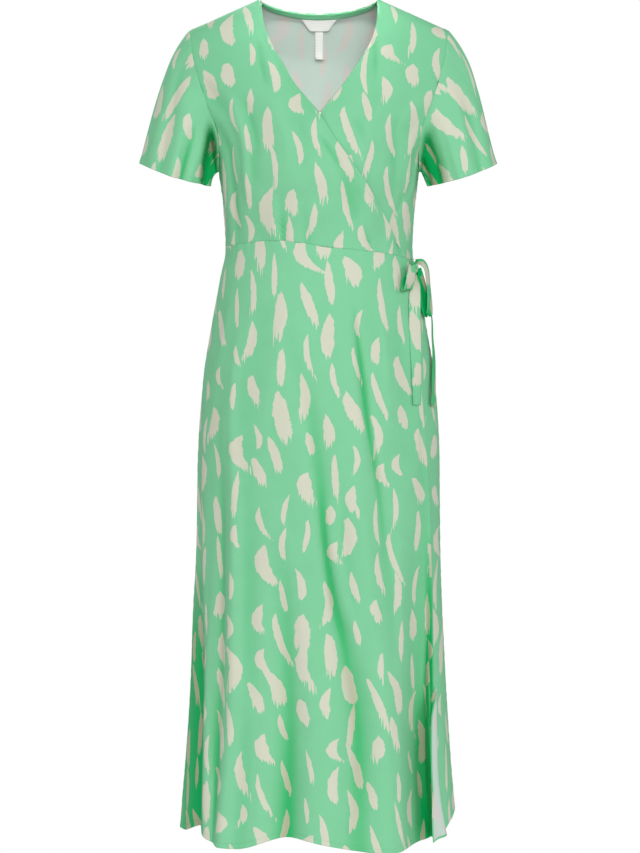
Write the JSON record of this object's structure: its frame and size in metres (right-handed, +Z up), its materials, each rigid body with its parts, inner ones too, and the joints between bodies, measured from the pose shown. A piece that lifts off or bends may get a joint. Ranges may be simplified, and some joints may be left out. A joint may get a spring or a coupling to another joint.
{
  "type": "wrap dress",
  "caption": "Long wrap dress, hollow and filled out, with a V neck, short flared sleeves, a waist seam, a lapped skirt and a bow at the left side of the waist.",
  "frame": {"origin": "midway between the two shoulder seams, level with their neck ends, where the wearer's shoulders hold the dress", "axes": "+Z up, the front faces -Y, +X to the wearer's left"},
  "size_m": [0.519, 0.2808, 1.2242],
  "materials": {
    "printed_crepe": "matte crepe, green with cream brush dabs",
    "tie_cloth": "matte crepe, green with cream brush dabs, folded double",
    "label_tape": "smooth off-white tape"
  },
  "bodies": {
    "root": {"bodice_front_over": "printed_crepe", "bodice_front_under": "printed_crepe", "bodice_back": "printed_crepe", "sleeve_right": "printed_crepe", "sleeve_left": "printed_crepe", "skirt_front_over": "printed_crepe", "skirt_front_under": "printed_crepe", "skirt_back": "printed_crepe", "neck_binding": "printed_crepe", "neck_label": "label_tape", "label_tab": "label_tape", "tie_strap": "tie_cloth", "tie_knot": "tie_cloth", "tie_loop_front": "tie_cloth", "tie_loop_side": "tie_cloth", "tie_tail_front": "tie_cloth", "tie_tail_side": "tie_cloth"}
  },
  "joints": []
}
